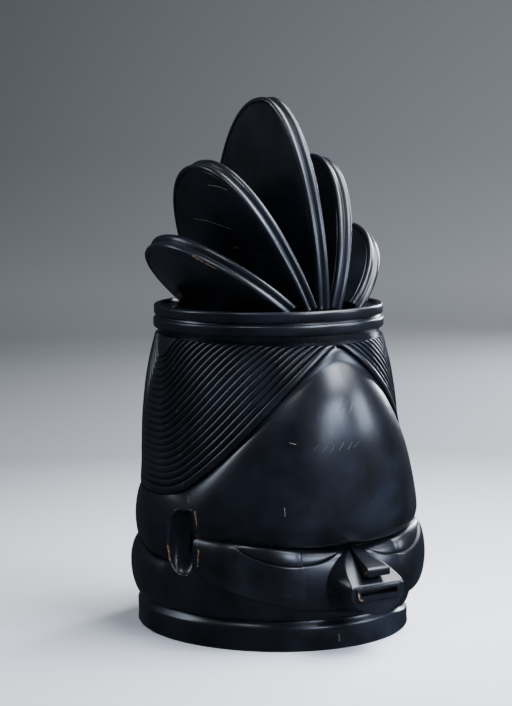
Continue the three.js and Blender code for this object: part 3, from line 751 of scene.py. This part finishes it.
class Finish:
    def __init__(self, name):
        self.material = bpy.data.materials.new(name)
        self.material.use_nodes = True
        self.nodes = self.material.node_tree.nodes
        self.links = self.material.node_tree.links
        self.nodes.clear()
        self.position = self.node("ShaderNodeTexCoord", {}, [])["Object"]

    def node(self, kind, settings, inputs):
        made = self.nodes.new(kind)
        for key, value in settings.items():
            if key == "stops":
                fillRamp(made.color_ramp, value)
            else:
                setattr(made, key, value)
        named = inputs.items() if isinstance(inputs, dict) else enumerate(inputs)
        for key, value in named:
            target = made.inputs[key]
            if isinstance(value, Socket):
                self.links.new(value.link, target)
            else:
                target.default_value = value
        return Outputs(self, made)

    def value(self, number):
        made = self.nodes.new("ShaderNodeValue")
        made.outputs[0].default_value = number
        return Socket(self, made.outputs[0])

    def noise(self, scale, detail=2.0, roughness=0.5, stretch=(1, 1, 1)):
        place = self.node("ShaderNodeMapping", {}, {"Vector": self.position, "Scale": stretch})[0]
        inputs = {"Vector": place, "Scale": scale, "Detail": detail, "Roughness": roughness}
        return self.node("ShaderNodeTexNoise", {}, inputs)[0]

    def band(self, value, start, end):
        inputs = {"Value": value, "From Min": start, "From Max": end}
        return self.node("ShaderNodeMapRange", {"interpolation_type": "SMOOTHSTEP"}, inputs)[0]

    def blend(self, factor, first, second):
        return self.node("ShaderNodeMix", {"data_type": "RGBA"}, {0: factor, 6: first, 7: second})[2]

    def vector(self, operation, *inputs):
        return self.node("ShaderNodeVectorMath", {"operation": operation}, inputs)

    def fromStroke(self, start, end):  # distance in millimetres from a straight stroke
        offset = self.vector("SUBTRACT", self.position, start)[0]
        axis = end - start
        along = self.vector("DOT_PRODUCT", offset, axis / max(axis.length_squared, 1e-9))["Value"]
        along = self.node("ShaderNodeClamp", {}, [along])[0]
        return self.vector("DISTANCE", offset, self.scaled(axis, along))["Value"] / mm

    def scaled(self, vector, share):
        made = self.node("ShaderNodeVectorMath", {"operation": "SCALE"}, {"Vector": vector, "Scale": share})
        return made[0]

    def fromStrokes(self, lines):  # distance in millimetres from the nearest of all the lines
        nearest = None
        for line in lines:
            for start, end in zip(line, line[1:]):
                gap = self.fromStroke(start, end)
                nearest = gap if nearest is None else nearest.math("MINIMUM", gap)
        return nearest


class Outputs:
    def __init__(self, tree, made):
        self.tree, self.made = tree, made

    def __getitem__(self, key):
        return Socket(self.tree, self.made.outputs[key])


def fillRamp(ramp, stops):
    while len(ramp.elements) > 1:
        ramp.elements.remove(ramp.elements[-1])
    for k, (place, colour) in enumerate(stops):
        element = ramp.elements[0] if k == 0 else ramp.elements.new(place)
        element.position = place
        element.color = colour


# Marks of use, each a line of places in the picture's frame that is cast onto the mask

scratches = {
    "innerLobeTop": ((208, 185), (218, 186.5), (227, 190)),
    "innerLobeMiddle": ((194, 218.6), (207, 220.7), (231, 229)),
    "innerLobeLow": ((234, 247), (238.6, 248.6)),
    "innerLobeNick": ((262, 254.5), (264, 255.5)),
    "foreheadChip": ((290, 443), (296, 444.5)),
    "noseBridgeNick": ((284.5, 508), (285, 516)),
    "crackNickTop": ((173, 363), (173.4, 369)),
    "crackNickUpper": ((177, 410), (177.4, 418)),
    "crackNickLower": ((179.5, 446), (180, 456)),
    "crackNickFoot": ((182, 478), (182.6, 487)),
    "templeNick": ((188, 496), (189, 502)),
    "flangeNick": ((339, 634), (339.4, 641)),
}
strokes = {  # two rows of shallow strokes on the forehead
    "upperFirst": ((337, 401), (342, 398)), "upperSecond": ((341, 409), (347, 402)),
    "upperThird": ((350, 412), (353, 403)),
    "lowerFirst": ((315, 449), (320, 444)), "lowerSecond": ((322, 452), (328, 445)),
    "lowerThird": ((331, 452), (335, 444)), "lowerFourth": ((339, 450), (344, 442)),
    "lowerFifth": ((348, 449), (352, 442)), "lowerSixth": ((354, 447), (359, 441)),
}
wear = {
    "outerRim": ((193, 256), (203, 262), (216, 269)),
    "crestFoot": ((297, 306), (310, 308.5)),
    "crestFootRight": ((318, 307.5), (322, 307.8)),
    "noseLeft": ((365, 575), (367, 571.5)), "noseRight": ((389.5, 570), (391, 567.5)),
    "lipCorner": ((358.5, 594), (359.5, 599), (363, 601)),
    "earFront": ((195, 512), (196.5, 523), (198, 538), (198.5, 552), (197.5, 566)),
    "earFoot": ((178, 572), (192, 572)),
    "earBack": ((168, 522), (167.5, 545), (170, 560)),
}


def castOn(piece, lines):
    tree = BVHTree.FromObject(piece, bpy.context.evaluated_depsgraph_get())
    matrix = cameraMatrix()
    turned = matrix.to_3x3()
    cast = []
    for line in lines.values():
        spots = []
        for x, y in line:
            aim = Vector((x - view["frameWidth"] / 2, view["frameHeight"] / 2 - y, -view["focalPixels"]))
            spot = tree.ray_cast(matrix.translation, (turned @ aim).normalized())[0]
            if spot is not None:
                spots.append(spot)
        cast.append(spots)
    return cast


blackenedWood = {
    "deep": (0.0034, 0.0036, 0.0046, 1), "worn": (0.009, 0.011, 0.018, 1), "pale": (0.30, 0.16, 0.07, 1),
    "dust": (0.16, 0.16, 0.17, 1), "scratch": (0.22, 0.20, 0.18, 1), "stroke": (0.030, 0.034, 0.044, 1),
    "roughness": 0.30, "patinaRough": 0.1, "grainRough": 0.1, "chipRough": 0.3,
}
wornBand = (0.3, 0.8)  # from deep to worn, on the patina
dust = {"specks": (0.72, 0.78), "places": (0.42, 0.6), "share": 0.6}
markEdges = {"strokes": (0.75, 0.25), "scratches": (0.62, 0.3), "wear": (2.7, 1.6)}  # none to full, in mm
markRagged = {"strokes": 0.4, "scratches": 0.55, "wear": 3.6}
markShare = {"strokes": 0.8, "scratches": 1, "wear": 0.8}
relief = {"patina": 0.2, "grain": 0.22, "rub": 0.12, "strokes": 0.3, "scratches": 0.15,
          "strength": 0.18, "distance": 0.0012}


def woodFinish(piece):
    wood = Finish("blackenedWood")
    patina = wood.noise(28, 4.0, 0.55)
    grain = wood.noise(60, 3.0, 0.6, (1, 1, 0.12))
    rub = wood.noise(420, 3.0, 0.7)
    fine = wood.noise(900, 2.0, 0.6)
    colour = wood.blend(wood.band(patina, *wornBand), blackenedWood["deep"], blackenedWood["worn"])
    specks = wood.band(fine, *dust["specks"]) * wood.band(patina, *dust["places"]) * dust["share"]
    colour = wood.blend(specks, colour, blackenedWood["dust"])
    marks = {}
    for name, lines, tone in (("strokes", strokes, "stroke"), ("scratches", scratches, "scratch"),
                              ("wear", wear, "pale")):
        away = wood.fromStrokes(castOn(piece, lines)) + rub * markRagged[name]
        marks[name] = wood.band(away, *markEdges[name])
        colour = wood.blend(marks[name] * markShare[name], colour, blackenedWood[tone])
    roughness = blackenedWood["roughness"] + (patina - 0.5) * blackenedWood["patinaRough"]
    roughness = roughness + (grain - 0.5) * blackenedWood["grainRough"]
    roughness = roughness + marks["wear"] * (markShare["wear"] * blackenedWood["chipRough"])
    height = patina * relief["patina"] + grain * relief["grain"] + rub * relief["rub"]
    height = height - marks["strokes"] * relief["strokes"] - marks["scratches"] * relief["scratches"]
    bump = wood.node("ShaderNodeBump", {}, {
        "Strength": relief["strength"], "Distance": relief["distance"], "Height": height})[0]
    shader = wood.node("ShaderNodeBsdfPrincipled", {}, {
        "Base Color": colour, "Roughness": roughness, "Normal": bump, "IOR": 1.5})[0]
    wood.node("ShaderNodeOutputMaterial", {}, [shader])
    return wood.material


# Studio: a round paper bowl whose colour carries painted light, a painted pool of light white on the floor
# and painted shade darker up its wall, and soft boxes

studio = {
    "floor": 2.3, "bend": 0.9, "bendRows": 16, "wallTop": 4.0, "columns": 96,
    "tones": (  # place on the way out and up, and lightness of the paper there, as painted light and painted shade
        (0.0, 0.99), (0.06, 0.68), (0.17, 0.25), (0.4, 0.21), (0.54, 0.26), (0.67, 0.19), (0.8, 0.17),
    ),
    "toneRun": 5.0,  # way out and up that the painted light and shade are spread over
    "tilt": 0.34, "tiltSpan": 0.6,  # painted light to the right of the picture and painted shade to the left
    "paperRoughness": 0.9, "aim": (0, 0, 0.2), "skyColour": (0.7, 0.8, 1.0, 1), "skyStrength": 0.05,
}


def addBowl():
    profile = [(0, 0), (0.4, 0), (1.2, 0)]
    for a in np.radians(np.linspace(0, 90, studio["bendRows"])):
        profile.append((studio["floor"] + studio["bend"] * math.sin(a), studio["bend"] * (1 - math.cos(a))))
    profile.append((studio["floor"] + studio["bend"], studio["wallTop"]))
    turns = np.linspace(0, 2 * np.pi, studio["columns"], endpoint=False)
    points = [(r * math.cos(t), r * math.sin(t), z) for r, z in profile for t in turns]
    mesh = bpy.data.meshes.new("bowl")
    mesh.from_pydata(points, [], gridFaces(len(profile), len(turns), 0, True, True))
    mesh.shade_smooth()
    bowl = bpy.data.objects.new("bowl", mesh)
    bpy.context.scene.collection.objects.link(bowl)
    bowl.visible_glossy = False  # the paper lights the wood but doesn't shine in it
    paper = Finish("paperWithPaintedLight")
    # the paper's colour is painted light: white in a pool on the floor round the mask, painted shade darker
    # outward and up the wall
    away = paper.vector("LENGTH", paper.vector("MULTIPLY", paper.position, (1, 1, 0))[0])["Value"]
    rise = paper.node("ShaderNodeSeparateXYZ", {}, [paper.position])["Z"]
    stops = [(place, (tone, tone, tone * 1.01, 1)) for place, tone in studio["tones"]]
    tone = paper.node("ShaderNodeValToRGB", {"stops": stops}, [(away + rise) / studio["toneRun"]])["Color"]
    # painted side light on the paper: lighter to the right of the picture, painted shade to the left
    a = math.radians(view["azimuth"])
    across = paper.vector("DOT_PRODUCT", paper.position, (math.cos(a), math.sin(a), 0))["Value"]
    span, least, most = studio["tiltSpan"], 1 - studio["tilt"], 1 + studio["tilt"]
    tone = paper.scaled(tone, paper.node("ShaderNodeMapRange", {}, [across, -span, span, least, most])[0])
    shader = paper.node("ShaderNodeBsdfPrincipled", {}, {
        "Base Color": tone, "Roughness": studio["paperRoughness"]})[0]
    paper.node("ShaderNodeOutputMaterial", {}, [shader])
    mesh.materials.append(paper.material)


lights = {  # azimuth round the mask, elevation, distance, size, power, colour
    "key": (52, 50, 1.9, (1.3, 0.9), 32, (0.80, 0.87, 1.0)),
    "overhead": (22, 52, 1.7, (0.7, 0.6), 28, (0.80, 0.88, 1.0)),
    "front": (6, 24, 2.0, (0.8, 0.4), 26, (0.66, 0.77, 1.0)),
    "right": (50, 18, 2.0, (0.8, 0.5), 22, (0.70, 0.80, 1.0)),
    "skyLeft": (-75, 58, 1.9, (0.5, 0.4), 9, (0.85, 0.92, 1.0)),
    "left": (-128, 28, 2.0, (0.3, 0.9), 11, (0.74, 0.84, 1.0)),
    "farRight": (118, 15, 2.1, (0.3, 0.9), 38, (0.80, 0.88, 1.0)),
    "backdrop": (88, 60, 2.2, (1.6, 1.2), 80, (0.94, 0.98, 1.0)),
}


def addLights():
    target = Vector(studio["aim"])
    for name, (azimuth, elevation, distance, size, power, colour) in lights.items():
        data = bpy.data.lights.new(name, "AREA")
        data.shape = "RECTANGLE"
        data.size, data.size_y = size
        data.energy, data.color = power, colour
        lamp = bpy.data.objects.new(name, data)
        bpy.context.scene.collection.objects.link(lamp)
        a, e = math.radians(azimuth), math.radians(elevation)
        spot = Vector((math.sin(a) * math.cos(e), -math.cos(a) * math.cos(e), math.sin(e))) * distance
        lamp.location = target + spot
        lamp.rotation_euler = (-spot).to_track_quat("-Z", "Y").to_euler()
    world = bpy.data.worlds.new("studio")
    world.use_nodes = True
    sky = world.node_tree.nodes["Background"]
    sky.inputs[0].default_value, sky.inputs[1].default_value = studio["skyColour"], studio["skyStrength"]
    bpy.context.scene.world = world


addCamera()
addBowl()
addLights()
print("studio set")

mask = maskPiece()
mask.data.materials.clear()
mask.data.materials.append(woodFinish(mask))
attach(mask, "root")
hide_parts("mask")
print("finish on")
